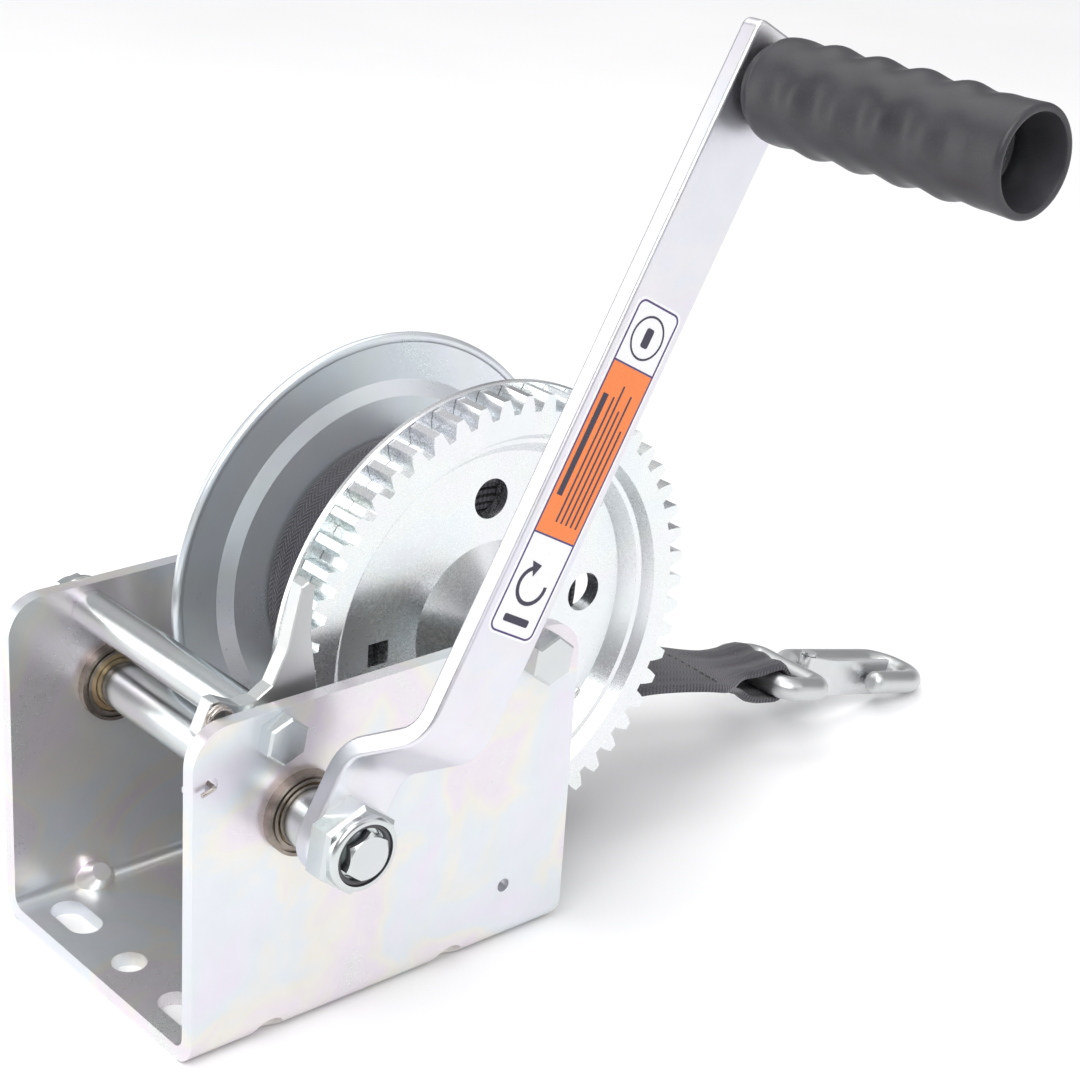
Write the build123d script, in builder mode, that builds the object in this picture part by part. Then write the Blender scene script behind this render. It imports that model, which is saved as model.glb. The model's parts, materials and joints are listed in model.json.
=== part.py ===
"""Single-speed hand winch for a boat trailer, with a two-way pawl, webbing strap and snap hook.

Units are millimetres. X runs along the side plates, Y across the channel from the crank side (-Y)
to the far plate (+Y), and Z is up. The origin is the centre of the channel's flat mounting face.
"""
import os
from math import acos, asin, atan2, cos, degrees, pi, radians, sin, sqrt, tan

from build123d import *

# Channel frame: one pressed steel U.
CHANNEL_LENGTH = 140.0
CHANNEL_WIDTH = 105.0
CHANNEL_HEIGHT = 109.0
SHEET = 4.8
BEND_RADIUS = 9.0
PLATE_CORNER = 12.0
LOWER_CORNER = 2.5
NEAR_FACE = -CHANNEL_WIDTH / 2
FAR_FACE = CHANNEL_WIDTH / 2
NEAR_INSIDE = NEAR_FACE + SHEET
FAR_INSIDE = FAR_FACE - SHEET

# Holes in the base: two slots across the channel and one round hole, at each end.
HOLE_ROW = 58.0
SLOT_SPACING = 62.0
SLOT_LENGTH = 21.0
HOLE_RADIUS = 5.5

# Darts pressed into the two bends to stiffen them.
DART_PLACES = (-42.0, 25.5)
DART_START = 8.0
DART_RISE = 6.4
DART_TAPER = 34
DART_BUMP = 7.4
DART_DENT = 7.6
DART_DEPTH = 8.2

# Small holes in the near plate: for the pawl spring's end, and a spare tapped one.
SPRING_HOLE = (-64.0, 92.0)
SPARE_HOLE = (45.3, 22.3)
SMALL_HOLE_RADIUS = 2.25

# Gear pair.
MODULE = 2.75
GEAR_TEETH = 54
PINION_TEETH = 13
PRESSURE_ANGLE = radians(20)
BACKLASH = 0.12
GEAR_PITCH = MODULE * GEAR_TEETH / 2
PINION_PITCH = MODULE * PINION_TEETH / 2
GEAR_TIP = GEAR_PITCH + 2.15
GEAR_ROOT = GEAR_PITCH - 3.1
PINION_TIP = PINION_PITCH + 2.6
PINION_ROOT = PINION_PITCH - 2.9
FLANK_STEPS = 4

# Axes that run across the channel, as (x, z).
PINION_AXIS = (-33.5, 74.5)
TIE_AXIS = (-42.0, 101.0)
DRUM_X = 55.0
CENTRE_DISTANCE = GEAR_PITCH + PINION_PITCH
DRUM_RISE = sqrt(CENTRE_DISTANCE**2 - (DRUM_X - PINION_AXIS[0]) ** 2)
DRUM_AXIS = (DRUM_X, PINION_AXIS[1] + DRUM_RISE)
TO_PINION = degrees(atan2(PINION_AXIS[1] - DRUM_AXIS[1], PINION_AXIS[0] - DRUM_AXIS[0]))

# Bearings and shafts.
SHAFT_RADIUS = 7.94
RUNNING_GAP = 0.05
BUSHING_RADIUS = 10.0
RACE_RADIUS = 13.0
RACE_PROUD = 3.0
SLEEVE_RADIUS = 8.0
AXLE_RADIUS = 4.75
TIE_RADIUS = 3.95
TIE_TUBE_RADIUS = 6.2
FIT_GAP = 0.15

# Drum.
GEAR_FRONT = -33.7
GEAR_BACK = -22.3
WEB = 2.5
RIM_RADIUS = 64.0
DISH_RADIUS = 56.0
STEP_RADIUS = 60.0
CONE_RADIUS = 27.0
CONE_TOP_RADIUS = 13.5
CONE_HEIGHT = 8.4
BACK_DISC_RADIUS = 77.3
DISC_FACE = GEAR_BACK + WEB + FIT_GAP
WINDOW_CIRCLE = 41.3
WINDOW_RADIUS = 6.5
SQUARE_WINDOW = 7.5
CORE_RADIUS = 15.9
STRAP_WIDTH = 47.5
PACK_NEAR = DISC_FACE + 0.4
PACK_FAR = PACK_NEAR + STRAP_WIDTH
PACK_RADIUS = 45.6
FLANGE_FACE = PACK_FAR + 0.5
FLANGE_RADIUS = 75.2
FLANGE_STEP_INNER = 57.0
FLANGE_STEP_OUTER = 62.0
FLANGE_OFFSET = 2.4
ROLLED_EDGE = 1.9
ANCHOR_CIRCLE = 26.0
ANCHOR_RADIUS = 3.9
WELD_ANGLES = (42, 222, 312)
WELD_RADIUS = 2.6
WELD_LENGTH = 16.0

# Crank. The arm is a flat bar with a joggle, at an angle to the plates.
ARM_ANGLE = radians(61)
ARM_WIDTH = 24.0
ARM_THICKNESS = 6.4
ARM_NEAR_PLATE = -69.6
ARM_OUTER = -93.6
ARM_TAIL = -12.0
ARM_END = 250.0
JOGGLE_START = 24.0
JOGGLE_END = 39.0
JOGGLE_RADIUS = 12.0
ARM_CORNER = 3.0
ARM_EDGE = 1.1
SHAFT_FLAT = 6.4
NUT_FLATS = 24.0
NUT_HEIGHT = 7.6
NUT_COLLAR_RADIUS = 11.4
NUT_COLLAR_HEIGHT = 2.8
SHAFT_HEX = 13.2
SHAFT_HEX_LENGTH = 4.8
SHAFT_CHAMFER = 1.5
SHAFT_PROUD = 1.8
SHAFT_FAR_END = 58.0
CLIP_THICKNESS = 1.4
LABEL_START = 72.0
LABEL_END = 171.0
LABEL_WIDTH = 18.8
LABEL_THICKNESS = 0.25

# Grip, which turns on a spindle riveted to the arm.
GRIP_DISTANCE = 235.5
GRIP_GAP = 1.6
GRIP_LENGTH = 90.0
GRIP_RADIUS = 14.6
GRIP_SWELL = 0.9
GRIP_RINGS = 5
GRIP_MOUTH_RADIUS = 12.2
GRIP_MOUTH_DEPTH = 17.0
SPINDLE_RADIUS = 6.3

# Pawl, drawn about its pivot.
PAWL_NEAR = -43.5
PAWL_THICKNESS = 5.0
PAWL_HUB = 6.9
SPRING_COIL_RADIUS = 3.6
SPRING_WIRE = 0.7
SPRING_COILS = 2
SPRING_CENTRE = (-57.0, 107.2)

# Strap tail and hook.
PLY = 2.2
STRAP_MIDDLE = (PACK_NEAR + PACK_FAR) / 2
TAIL_CLEARANCE = 0.4
TAIL_START_ANGLE = 222.0
EYE = (214.0, 27.0)
BAR_RADIUS = 4.4
LOOP_GAP = 0.9
LOOP_WIDTH = 24.0
HOOK_LENGTH = 88.0
HOOK_DROOP = asin((EYE[1] - BAR_RADIUS - 0.05) / HOOK_LENGTH)
HOOK_HALF_WIDTH = 11.5
EYE_HALF_WIDTH = 17.5
EYE_DEPTH = 20.0
KEEPER_PIVOT = (28.6, -0.8)
KEEPER_END = 71.0
NOSE_END = 56.0
NOSE_ROUNDING = 3.2
KEEPER_KNUCKLE = 3.3
KEEPER_PIN = 1.9
LUG_THICKNESS = 3.0
KEEPER_HEIGHT = 14.0
KEEPER_THICKNESS = 1.6

os.makedirs("parts", exist_ok=True)


def save(piece, label):
    """Label a finished piece and write its STEP file."""
    piece.label = label
    export_step(piece, f"parts/{label}.step")


def across(axis, high):
    """The plane square to a cross axis at Y = high; extruding goes towards -Y."""
    return Plane(origin=(axis[0], high, axis[1]), x_dir=(1, 0, 0), z_dir=(0, -1, 0))


def radial(axis):
    """The half plane in which a shape turned about a cross axis is drawn, as (y, radius)."""
    return Plane(origin=(axis[0], 0, axis[1]), x_dir=(0, 1, 0), z_dir=(1, 0, 0))


def turning_axis(axis):
    """The cross axis itself."""
    return Axis((axis[0], 0, axis[1]), (0, 1, 0))


def on_circle(radius, angle):
    """A point at an angle in degrees on a circle about the origin."""
    return (radius * cos(radians(angle)), radius * sin(radians(angle)))


def hexagon(flats):
    """Corner radius of a hexagon from its width across flats."""
    return flats / 2 / cos(pi / 6)


def ring(label, axis, low, high, radius, bore):
    """A plain turned ring about a cross axis."""
    with BuildPart() as piece:
        with BuildSketch(across(axis, high)):
            Circle(radius)
            Circle(bore, mode=Mode.SUBTRACT)
        extrude(amount=high - low)
        chamfer(piece.edges().filter_by(GeomType.CIRCLE), length=0.3)
    save(piece.part, label)


def flank(pitch, tip, root, tooth_count, shift):
    """One flank of an involute tooth as (radius, half angle) pairs, from root to tip."""
    base = pitch * cos(PRESSURE_ANGLE)
    half = (pi * MODULE / 2 - shift) / 2 / pitch
    at_pitch = tan(PRESSURE_ANGLE) - PRESSURE_ANGLE
    start = max(base, root)
    pairs = []
    if root < base:
        pairs.append((root, half + at_pitch))
    for step in range(FLANK_STEPS + 1):
        radius = start + (tip - start) * step / FLANK_STEPS
        turn = acos(min(1.0, base / radius))
        pairs.append((radius, half + at_pitch - (tan(turn) - turn)))
    return pairs


def toothed_outline(pitch, tip, root, tooth_count, first):
    """Corner points of a gear whose first tooth is centred on the angle first, in degrees."""
    side = flank(pitch, tip, root, tooth_count, BACKLASH)
    points = []
    for tooth in range(tooth_count):
        middle = first + 360 * tooth / tooth_count
        for radius, half in side:
            points.append(on_circle(radius, middle - degrees(half)))
        for radius, half in reversed(side):
            points.append(on_circle(radius, middle + degrees(half)))
    return points


# ---------------------------------------------------------------- channel frame
def make_frame():
    """The U channel with its holes, rounded corners and pressed darts."""
    with BuildPart() as frame:
        with BuildSketch(Plane.YZ.offset(-CHANNEL_LENGTH / 2)):
            with Locations((0, CHANNEL_HEIGHT / 2)):
                Rectangle(CHANNEL_WIDTH, CHANNEL_HEIGHT)
        extrude(amount=CHANNEL_LENGTH)
        outer = frame.edges().filter_by(Axis.X).group_by(Axis.Z)[0]
        fillet(outer, radius=BEND_RADIUS)
        with BuildSketch(Plane.YZ.offset(-CHANNEL_LENGTH / 2)):
            with Locations((0, SHEET + CHANNEL_HEIGHT / 2)):
                inside = Rectangle(CHANNEL_WIDTH - 2 * SHEET, CHANNEL_HEIGHT)
            fillet(inside.vertices().group_by(Axis.Z)[0], radius=BEND_RADIUS - SHEET)
        extrude(amount=CHANNEL_LENGTH, mode=Mode.SUBTRACT)
        uppers = frame.edges().filter_by(Axis.Y).group_by(Axis.Z)[-1]
        fillet(uppers, radius=PLATE_CORNER)

        for side in (-1, 1):
            for place in DART_PLACES:
                corner = Plane(
                    origin=(place, side * CHANNEL_WIDTH / 2, 0),
                    x_dir=(1, 0, 0),
                    z_dir=(0, -side, 1),
                )
                with BuildSketch(corner.offset(DART_START)):
                    Circle(DART_BUMP)
                extrude(amount=DART_RISE, taper=DART_TAPER)
                with BuildSketch(corner.offset(-1)):
                    Circle(DART_DENT)
                extrude(amount=DART_DEPTH, taper=DART_TAPER - 10, mode=Mode.SUBTRACT)
        with BuildSketch(Plane.XY):
            Rectangle(2 * CHANNEL_LENGTH, 2 * CHANNEL_WIDTH)
        extrude(amount=-20, mode=Mode.SUBTRACT)
        for side in (-1, 1):
            with BuildSketch(across((0, CHANNEL_HEIGHT / 2), side * CHANNEL_WIDTH / 2)):
                Rectangle(2 * CHANNEL_LENGTH, 2 * CHANNEL_HEIGHT)
            extrude(amount=-side * 20, mode=Mode.SUBTRACT)

        with BuildSketch(Plane.XY):
            with GridLocations(2 * HOLE_ROW, SLOT_SPACING, 2, 2):
                SlotOverall(SLOT_LENGTH, 2 * HOLE_RADIUS, rotation=90)
            with GridLocations(2 * HOLE_ROW, 0, 2, 1):
                Circle(HOLE_RADIUS)
        extrude(amount=SHEET, mode=Mode.SUBTRACT)

        for high in (NEAR_INSIDE, FAR_FACE):
            with BuildSketch(across((0, 0), high)):
                with Locations(PINION_AXIS):
                    Circle(RACE_RADIUS)
                with Locations(TIE_AXIS):
                    Circle(TIE_RADIUS + FIT_GAP)
                with Locations(DRUM_AXIS):
                    Circle(AXLE_RADIUS + FIT_GAP)
            extrude(amount=SHEET, mode=Mode.SUBTRACT)
        with BuildSketch(across((0, 0), NEAR_INSIDE)):
            with Locations(SPRING_HOLE, SPARE_HOLE):
                Circle(SMALL_HOLE_RADIUS)
        extrude(amount=SHEET, mode=Mode.SUBTRACT)
    save(frame.part, "channel_frame")


def make_bearings():
    """A pressed steel race in each plate, with a bronze bushing inside it."""
    for name, low, high in (
        ("near", NEAR_FACE - RACE_PROUD, NEAR_INSIDE + 0.6),
        ("far", FAR_INSIDE - RACE_PROUD, FAR_FACE + 0.6),
    ):
        with BuildPart() as race:
            with BuildSketch(radial(PINION_AXIS)):
                with Locations(((low + high) / 2, (RACE_RADIUS + BUSHING_RADIUS) / 2)):
                    Rectangle(high - low, RACE_RADIUS - BUSHING_RADIUS)
            revolve(axis=turning_axis(PINION_AXIS))
            groove_face = low if name == "near" else low + 0.8
            with BuildSketch(across(PINION_AXIS, groove_face + 0.8 * (name == "near"))):
                Circle((RACE_RADIUS + BUSHING_RADIUS) / 2 + 0.45)
                Circle((RACE_RADIUS + BUSHING_RADIUS) / 2 - 0.45, mode=Mode.SUBTRACT)
            extrude(amount=0.8, mode=Mode.SUBTRACT)
        save(race.part, f"{name}_bearing_race")
        ring(
            f"{name}_bushing",
            PINION_AXIS,
            low + 0.4,
            high - 0.4,
            BUSHING_RADIUS,
            SHAFT_RADIUS + RUNNING_GAP,
        )


def make_through_bolt(label, axis, radius, flats, head):
    """A hex bolt through both plates, its head on the near plate."""
    with BuildPart() as bolt:
        with BuildSketch(across(axis, NEAR_FACE)):
            RegularPolygon(radius=hexagon(flats), side_count=6, rotation=20)
        extrude(amount=head)
        chamfer(bolt.faces().sort_by(Axis.Y)[0].edges(), length=0.7)
        with BuildSketch(across(axis, FAR_FACE + 10.5)):
            Circle(radius)
        extrude(amount=CHANNEL_WIDTH + 10.5)
        chamfer(bolt.faces().sort_by(Axis.Y)[-1].edges(), length=0.8)
    save(bolt.part, label)


def make_lock_nut(label, axis, radius, flats, low, high, collar):
    """A hex nut with a rolled locking collar on its outer end, facing +Y."""
    with BuildPart() as nut:
        with BuildSketch(across(axis, high - collar)):
            RegularPolygon(radius=hexagon(flats), side_count=6, rotation=10)
        extrude(amount=high - collar - low)
        chamfer(nut.faces().sort_by(Axis.Y)[-1].edges(), length=0.6)
        with BuildSketch(across(axis, high)):
            Circle(flats / 2 - 0.9)
        extrude(amount=collar)
        chamfer(nut.faces().sort_by(Axis.Y)[-1].edges(), length=0.8)
        with BuildSketch(across(axis, high)):
            Circle(radius + 0.05)
        extrude(amount=high - low, mode=Mode.SUBTRACT)
    save(nut.part, label)


def make_tie():
    """The tie bolt that spaces the plates and carries the pawl."""
    make_through_bolt("tie_bolt", TIE_AXIS, TIE_RADIUS, 12.7, 5.4)
    ring("tie_washer", TIE_AXIS, FAR_FACE, FAR_FACE + 1.6, 8.6, TIE_RADIUS + 0.05)
    make_lock_nut("tie_nut", TIE_AXIS, TIE_RADIUS, 12.7, FAR_FACE + 1.6, FAR_FACE + 9.6, 2.2)
    tube_low = PAWL_NEAR + PAWL_THICKNESS + FIT_GAP
    ring("spacer_tube", TIE_AXIS, tube_low, FAR_INSIDE, TIE_TUBE_RADIUS, TIE_RADIUS + 0.05)
    pawl_low = PAWL_NEAR - FIT_GAP
    ring("pawl_spacer", TIE_AXIS, NEAR_INSIDE, pawl_low, TIE_TUBE_RADIUS, TIE_RADIUS + 0.05)


def make_drum_axle():
    """The fixed bolt and sleeve on which the drum turns."""
    make_through_bolt("drum_axle_bolt", DRUM_AXIS, AXLE_RADIUS, 14.3, 6.2)
    ring("drum_axle_washer", DRUM_AXIS, FAR_FACE, FAR_FACE + 1.8, 10.2, AXLE_RADIUS + 0.05)
    make_lock_nut(
        "drum_axle_nut", DRUM_AXIS, AXLE_RADIUS, 14.3, FAR_FACE + 1.8, FAR_FACE + 10.0, 2.4
    )
    ring(
        "drum_axle_sleeve", DRUM_AXIS, NEAR_INSIDE, FAR_INSIDE, SLEEVE_RADIUS, AXLE_RADIUS + 0.05
    )


# ---------------------------------------------------------------- pinion and crank
def make_pinion():
    """The pinion on its shaft, long enough to meet both the gear and the pawl."""
    with BuildPart() as pinion:
        with BuildSketch(across(PINION_AXIS, GEAR_BACK)):
            Polygon(
                *toothed_outline(
                    PINION_PITCH, PINION_TIP, PINION_ROOT, PINION_TEETH, TO_PINION + 180
                ),
                align=None,
            )
            Circle(SHAFT_RADIUS + 0.01, mode=Mode.SUBTRACT)
        extrude(amount=GEAR_BACK - PAWL_NEAR + 1.5)
    save(pinion.part, "pinion")


def make_shaft():
    """The pinion shaft: flats for the crank, a threaded outer end and a clip groove."""
    tip = ARM_NEAR_PLATE - ARM_THICKNESS / 2 - NUT_HEIGHT - NUT_COLLAR_HEIGHT - SHAFT_PROUD
    arm_back = ARM_NEAR_PLATE + ARM_THICKNESS / 2
    groove = FAR_FACE + 0.9
    with BuildPart() as shaft:
        with BuildSketch(across(PINION_AXIS, SHAFT_FAR_END)):
            Circle(SHAFT_RADIUS)
        extrude(amount=SHAFT_FAR_END - tip)
        chamfer(shaft.edges().filter_by(GeomType.CIRCLE), length=SHAFT_CHAMFER)
        with BuildSketch(across(PINION_AXIS, arm_back)):
            Circle(2 * SHAFT_RADIUS)
            Rectangle(4 * SHAFT_RADIUS, 2 * SHAFT_FLAT, mode=Mode.SUBTRACT)
        extrude(amount=arm_back - tip - NUT_HEIGHT, mode=Mode.SUBTRACT)
        with BuildSketch(across(PINION_AXIS, tip + SHAFT_HEX_LENGTH)):
            Circle(2 * SHAFT_RADIUS)
            RegularPolygon(radius=hexagon(SHAFT_HEX), side_count=6, rotation=22, mode=Mode.SUBTRACT)
        extrude(amount=SHAFT_HEX_LENGTH, mode=Mode.SUBTRACT)
        with BuildSketch(across(PINION_AXIS, groove + CLIP_THICKNESS)):
            Circle(SHAFT_RADIUS + 1)
            Circle(SHAFT_RADIUS - 0.9, mode=Mode.SUBTRACT)
        extrude(amount=CLIP_THICKNESS, mode=Mode.SUBTRACT)
    save(shaft.part, "pinion_shaft")
    with BuildPart() as clip:
        with BuildSketch(across(PINION_AXIS, groove + CLIP_THICKNESS - 0.05)):
            Circle(SHAFT_RADIUS + 2.6)
            Circle(SHAFT_RADIUS - 0.85, mode=Mode.SUBTRACT)
            with Locations((0, -SHAFT_RADIUS)):
                Rectangle(1.3 * SHAFT_RADIUS, 2 * SHAFT_RADIUS, mode=Mode.SUBTRACT)
        extrude(amount=CLIP_THICKNESS - 0.1)
    save(clip.part, "shaft_clip")
    spacer_high = NEAR_FACE - RACE_PROUD - FIT_GAP
    ring("crank_spacer", PINION_AXIS, arm_back, spacer_high, 9.6, SHAFT_RADIUS + 0.03)
    ring(
        "pinion_thrust_ring",
        PINION_AXIS,
        GEAR_BACK + 0.05,
        GEAR_BACK + 5,
        SHAFT_RADIUS + 3.2,
        SHAFT_RADIUS + 0.01,
    )


def arm_plane():
    """Plane of the crank arm's side view: x along the arm, y along +Y."""
    return Plane(
        origin=(PINION_AXIS[0], 0, PINION_AXIS[1]),
        x_dir=(cos(ARM_ANGLE), 0, sin(ARM_ANGLE)),
        z_dir=(-sin(ARM_ANGLE), 0, cos(ARM_ANGLE)),
    )


def arm_face(height):
    """Plane on the arm's broad side at Y = height, x along the arm, facing -Y."""
    return Plane(
        origin=(PINION_AXIS[0], height, PINION_AXIS[1]),
        x_dir=(cos(ARM_ANGLE), 0, sin(ARM_ANGLE)),
        z_dir=(0, -1, 0),
    )


def make_crank_arm():
    """The flat crank arm, with its joggle away from the plate."""
    with BuildPart() as arm:
        with BuildSketch(arm_plane()):
            with BuildLine():
                FilletPolyline(
                    (ARM_TAIL, ARM_NEAR_PLATE),
                    (JOGGLE_START, ARM_NEAR_PLATE),
                    (JOGGLE_END, ARM_OUTER),
                    (ARM_END, ARM_OUTER),
                    radius=JOGGLE_RADIUS,
                )
            trace(line_width=ARM_THICKNESS)
        extrude(amount=ARM_WIDTH / 2, both=True)
        along = Axis((0, 0, 0), (cos(ARM_ANGLE), 0, sin(ARM_ANGLE)))
        fillet(arm.edges().filter_by(Axis.Y).sort_by(along)[:2], radius=ARM_WIDTH / 2 - 0.5)
        fillet(arm.edges().filter_by(Axis.Y).sort_by(along)[-2:], radius=ARM_CORNER)
        flats = arm.faces().sort_by(Axis((0, 0, 0), (-sin(ARM_ANGLE), 0, cos(ARM_ANGLE))))
        fillet(flats[0].edges() + flats[-1].edges(), radius=ARM_EDGE)
        with BuildSketch(arm_face(ARM_NEAR_PLATE + ARM_THICKNESS)):
            Circle(SHAFT_RADIUS + 0.04)
        extrude(amount=2 * ARM_THICKNESS, mode=Mode.SUBTRACT)
        with BuildSketch(arm_face(ARM_OUTER + ARM_THICKNESS)):
            with Locations((GRIP_DISTANCE, 0)):
                Circle(SPINDLE_RADIUS - 1.2)
        extrude(amount=2 * ARM_THICKNESS, mode=Mode.SUBTRACT)
    save(arm.part, "crank_arm")


def make_crank_nut():
    """The lock nut that holds the arm on the shaft, and its nylon ring."""
    face = ARM_NEAR_PLATE - ARM_THICKNESS / 2
    outer = face - NUT_HEIGHT - NUT_COLLAR_HEIGHT
    with BuildPart() as nut:
        with BuildSketch(across(PINION_AXIS, face)):
            RegularPolygon(radius=hexagon(NUT_FLATS), side_count=6, rotation=22)
        extrude(amount=NUT_HEIGHT)
        chamfer(nut.faces().sort_by(Axis.Y)[0].edges(), length=1.2)
        with BuildSketch(across(PINION_AXIS, face - NUT_HEIGHT)):
            Circle(NUT_COLLAR_RADIUS)
        extrude(amount=NUT_COLLAR_HEIGHT)
        fillet(nut.faces().sort_by(Axis.Y)[0].edges(), radius=1.4)
        with BuildSketch(across(PINION_AXIS, face)):
            Circle(SHAFT_RADIUS + 0.03)
        extrude(amount=NUT_HEIGHT + NUT_COLLAR_HEIGHT, mode=Mode.SUBTRACT)
        with BuildSketch(across(PINION_AXIS, outer + 2.2)):
            Circle(SHAFT_RADIUS + 1.5)
        extrude(amount=2.2, mode=Mode.SUBTRACT)
    save(nut.part, "crank_nut")
    ring("nut_insert", PINION_AXIS, outer + 0.7, outer + 2.2, SHAFT_RADIUS + 1.45, SHAFT_RADIUS + 0.03)


def make_label():
    """A thin printed label on the arm's outer face."""
    with BuildPart() as label:
        with BuildSketch(arm_face(ARM_OUTER - ARM_THICKNESS / 2)):
            with Locations(((LABEL_START + LABEL_END) / 2, 0)):
                RectangleRounded(LABEL_END - LABEL_START, LABEL_WIDTH, 3)
        extrude(amount=LABEL_THICKNESS)
    save(label.part, "arm_label")


def grip_axis():
    """Where the grip's axis crosses the arm, as (x, z)."""
    return (
        PINION_AXIS[0] + GRIP_DISTANCE * cos(ARM_ANGLE),
        PINION_AXIS[1] + GRIP_DISTANCE * sin(ARM_ANGLE),
    )


def make_grip():
    """The ribbed hollow grip, its spindle and the washer that keeps it on."""
    axis = grip_axis()
    start = ARM_OUTER - ARM_THICKNESS / 2 - GRIP_GAP
    end = start - GRIP_LENGTH
    ring_pitch = (GRIP_LENGTH - 12) / GRIP_RINGS
    with BuildPart() as grip:
        with BuildSketch(radial(axis)):
            with BuildLine():
                crest = [(start, 12.2), (start - 3, GRIP_RADIUS - 1.2)]
                for step in range(2 * GRIP_RINGS + 1):
                    swell = GRIP_SWELL if step % 2 else -GRIP_SWELL
                    crest.append((start - 7 - step * ring_pitch / 2, GRIP_RADIUS + swell))
                crest.append((end, GRIP_RADIUS - 0.2))
                Spline(*crest)
                mouth = end + GRIP_MOUTH_DEPTH
                bore = SPINDLE_RADIUS + RUNNING_GAP
                Polyline(
                    crest[-1],
                    (end, GRIP_MOUTH_RADIUS),
                    (mouth, GRIP_MOUTH_RADIUS),
                    (mouth, bore),
                    (start, bore),
                    crest[0],
                )
            make_face()
        revolve(axis=turning_axis(axis))
    save(grip.part, "grip")

    washer_low = mouth - 0.3 - 1.5
    with BuildPart() as spindle:
        with BuildSketch(across(axis, ARM_OUTER - ARM_THICKNESS / 2)):
            Circle(SPINDLE_RADIUS)
        extrude(amount=ARM_OUTER - ARM_THICKNESS / 2 - mouth + 0.3)
        with BuildSketch(across(axis, ARM_OUTER + ARM_THICKNESS / 2)):
            Circle(SPINDLE_RADIUS - 1.25)
        extrude(amount=ARM_THICKNESS)
        with BuildSketch(across(axis, ARM_OUTER + ARM_THICKNESS / 2 + 1.6)):
            Circle(SPINDLE_RADIUS + 0.8)
        extrude(amount=1.6)
        fillet(spindle.faces().sort_by(Axis.Y)[-1].edges(), radius=1.0)
        with BuildSketch(across(axis, mouth - 0.3)):
            Circle(SPINDLE_RADIUS - 2.2)
        extrude(amount=4.5)
        fillet(spindle.faces().sort_by(Axis.Y)[0].edges(), radius=1.2)
    save(spindle.part, "grip_spindle")
    ring("grip_washer", axis, washer_low, mouth - 0.3, 9.4, SPINDLE_RADIUS - 2.15)


# ---------------------------------------------------------------- drum
def windows(high):
    """The round and square windows of the drum's near side, on the plane Y = high."""
    with BuildSketch(across(DRUM_AXIS, high)) as holes:
        for angle in (0, 90):
            with Locations(on_circle(WINDOW_CIRCLE, angle)):
                Circle(WINDOW_RADIUS)
        for angle in (180, 270):
            with Locations(on_circle(WINDOW_CIRCLE, angle)):
                Rectangle(SQUARE_WINDOW, SQUARE_WINDOW)
    return holes.sketch


def make_gear():
    """The dished gear: a toothed rim, a stepped wall, a flat web and a central cone."""
    first = TO_PINION + 180 / GEAR_TEETH
    cone_front = GEAR_BACK - CONE_HEIGHT
    with BuildPart() as gear:
        with BuildSketch(across(DRUM_AXIS, GEAR_BACK)):
            Polygon(
                *toothed_outline(GEAR_PITCH, GEAR_TIP, GEAR_ROOT, GEAR_TEETH, first), align=None
            )
        extrude(amount=GEAR_BACK - GEAR_FRONT)
        with BuildSketch(radial(DRUM_AXIS)):
            with BuildLine():
                Polyline(
                    (GEAR_FRONT, 0),
                    (GEAR_FRONT, RIM_RADIUS),
                    (GEAR_FRONT + 3.5, STEP_RADIUS + 1.6),
                    (GEAR_FRONT + 4.0, STEP_RADIUS),
                    (GEAR_BACK - WEB, DISH_RADIUS),
                    (GEAR_BACK - WEB, CONE_RADIUS),
                    (cone_front - WEB, CONE_TOP_RADIUS),
                    (cone_front - WEB, 0),
                    (GEAR_FRONT, 0),
                )
            make_face()
        revolve(axis=turning_axis(DRUM_AXIS), mode=Mode.SUBTRACT)
        with BuildSketch(radial(DRUM_AXIS)):
            with BuildLine():
                Polyline(
                    (GEAR_BACK - WEB, CONE_RADIUS + 1),
                    (GEAR_BACK, CONE_RADIUS + 1),
                    (GEAR_BACK, CONE_RADIUS - 3),
                    (cone_front, CONE_TOP_RADIUS - 1),
                    (cone_front, SLEEVE_RADIUS + RUNNING_GAP),
                    (cone_front - WEB, SLEEVE_RADIUS + RUNNING_GAP),
                    (cone_front - WEB, CONE_TOP_RADIUS),
                    (GEAR_BACK - WEB, CONE_RADIUS),
                    (GEAR_BACK - WEB, CONE_RADIUS + 1),
                )
            make_face()
        revolve(axis=turning_axis(DRUM_AXIS))
        with BuildSketch(radial(DRUM_AXIS)):
            with BuildLine():
                Polyline(
                    (cone_front, 0),
                    (cone_front, CONE_TOP_RADIUS - 1),
                    (GEAR_BACK, CONE_RADIUS - 3),
                    (GEAR_BACK + 1, CONE_RADIUS - 3),
                    (GEAR_BACK + 1, 0),
                    (cone_front, 0),
                )
            make_face()
        revolve(axis=turning_axis(DRUM_AXIS), mode=Mode.SUBTRACT)
        extrude(windows(GEAR_BACK), amount=GEAR_BACK - GEAR_FRONT, mode=Mode.SUBTRACT)
        with BuildSketch(across(DRUM_AXIS, GEAR_BACK)):
            Circle(SLEEVE_RADIUS + RUNNING_GAP)
        extrude(amount=GEAR_BACK - GEAR_FRONT, mode=Mode.SUBTRACT)
    save(gear.part, "drum_gear")


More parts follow.
